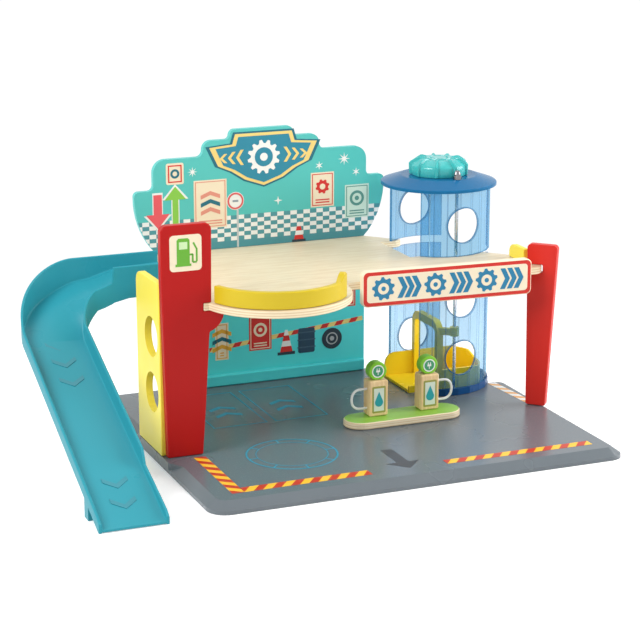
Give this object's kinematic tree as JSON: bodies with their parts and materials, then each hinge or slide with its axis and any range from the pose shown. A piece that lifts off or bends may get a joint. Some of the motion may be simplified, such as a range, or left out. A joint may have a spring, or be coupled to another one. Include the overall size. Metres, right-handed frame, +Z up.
{
  "type": "toy garage",
  "caption": "Wooden toy garage: grey board, ply deck with balcony, clear blue tower with a crank lift, curved turquoise ramp, pump island, printed walls and a red-edged sign.",
  "frame": {"origin": "middle of the base board's underside", "axes": "+X right, +Y to the back, +Z up, seen from the front with the ramp on the left"},
  "size_m": [0.499, 0.342, 0.268],
  "materials": {
    "board_grey": "grey printed lacquer on fibreboard",
    "pillar_red": "satin red lacquer on fibreboard",
    "wall_yellow": "satin yellow lacquer on fibreboard",
    "guard_yellow": "satin yellow lacquer on bent ply",
    "mural_aqua": "printed paper on fibreboard, satin",
    "skirting_aqua": "dark aqua lacquer",
    "deck_ply": "clear lacquered birch ply with pale edges",
    "sign_cream": "cream printed board with a red border",
    "clear_blue": "clear blue moulded plastic, polished",
    "ring_blue": "dark blue moulded plastic",
    "roof_blue": "blue moulded plastic",
    "knob_aqua": "turquoise moulded plastic",
    "drum_white": "white moulded plastic",
    "steel": "plated steel",
    "cord_white": "braided white cord",
    "tray_yellow": "yellow moulded plastic",
    "chute_aqua": "turquoise moulded plastic, soft gloss",
    "island_green": "green print on ply with a cream rim",
    "pump_wood": "natural beech, clear lacquer",
    "head_green": "green lacquered wood",
    "hose_white": "white moulded plastic"
  },
  "bodies": {
    "garage": {"base_board": "board_grey", "left_pillar": "pillar_red", "left_side_wall": "wall_yellow", "lower_back_wall": "mural_aqua", "wall_skirting": "skirting_aqua", "upper_back_wall": "mural_aqua", "deck": "deck_ply", "balcony_guard": "guard_yellow", "sign_board": "sign_cream", "right_pillar": "pillar_red", "right_rail": "wall_yellow", "tower_base_ring": "ring_blue", "tower_lower_front": "clear_blue", "tower_lower_back": "clear_blue", "tower_upper_front": "clear_blue", "tower_upper_back": "clear_blue", "tower_roof": "roof_blue", "guide_rod": "steel", "rod_nut": "steel", "ramp_chute": "chute_aqua", "pump_island": "island_green", "pump_body_1": "pump_wood", "pump_body_2": "pump_wood", "pump_head_1": "head_green", "pump_head_2": "head_green", "pump_hose_1": "hose_white", "pump_hose_2": "hose_white", "wall_pin_left": "steel", "wall_pin_right": "steel", "sign_pin_left": "steel", "sign_pin_right": "steel", "screw_left_pillar": "steel", "screw_side_wall": "steel", "screw_back_left": "steel", "screw_back_right": "steel", "screw_right_pillar": "steel"},
    "knob": {"lift_knob": "knob_aqua", "knob_drum": "drum_white", "axle_clip": "steel"},
    "carriage": {"lift_carriage": "tray_yellow", "lift_cord": "cord_white"}
  },
  "joints": [
    {"name": "knob_turn", "type": "hinge", "parent": "garage", "child": "knob", "pos_m": [0.1295, 0.0861, 0.2233], "axis": [0, 0, 1], "range_deg": [0, 882]},
    {"name": "lift_slide", "type": "slide", "parent": "garage", "child": "carriage", "axis": [0, 0, 1], "range_m": [0, 0.1371], "deforming": ["lift_cord"]}
  ],
  "couplings": [
    {"joint": "knob_turn", "follows": "lift_slide", "rad_per_m": 112.28}
  ]
}
